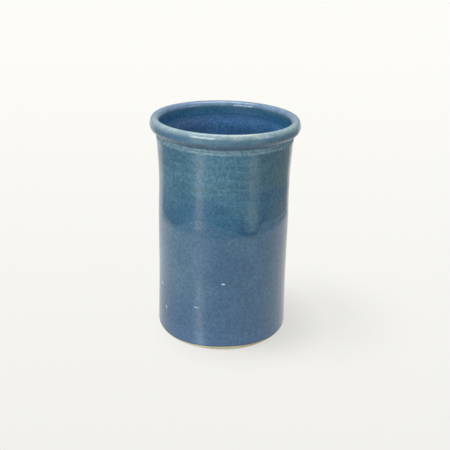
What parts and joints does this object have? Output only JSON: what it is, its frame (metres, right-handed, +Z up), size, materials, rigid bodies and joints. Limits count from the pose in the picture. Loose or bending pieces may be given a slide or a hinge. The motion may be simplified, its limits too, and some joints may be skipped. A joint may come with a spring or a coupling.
{
  "type": "cutlery holder",
  "caption": "Tall round stoneware crock, open at the top, with a rolled rim bead, a ridge under it, blue-green glaze and a bare foot, to stand cutlery in.",
  "frame": {"origin": "centre of the foot, on the surface that the crock stands on", "axes": "+Z up, along the crock's axis; -Y is the side that faces the camera"},
  "size_m": [0.112, 0.112, 0.1704],
  "materials": {
    "bare_clay": "unglazed cream stoneware, matt",
    "liner_glaze": "deep blue gloss glaze, finely speckled",
    "base_glaze": "mottled denim blue gloss glaze",
    "dip_glaze": "mottled teal gloss glaze"
  },
  "bodies": {
    "root": {"clay_body": "bare_clay", "liner_glaze": "liner_glaze", "base_glaze": "base_glaze", "dip_glaze": "dip_glaze"}
  },
  "joints": []
}
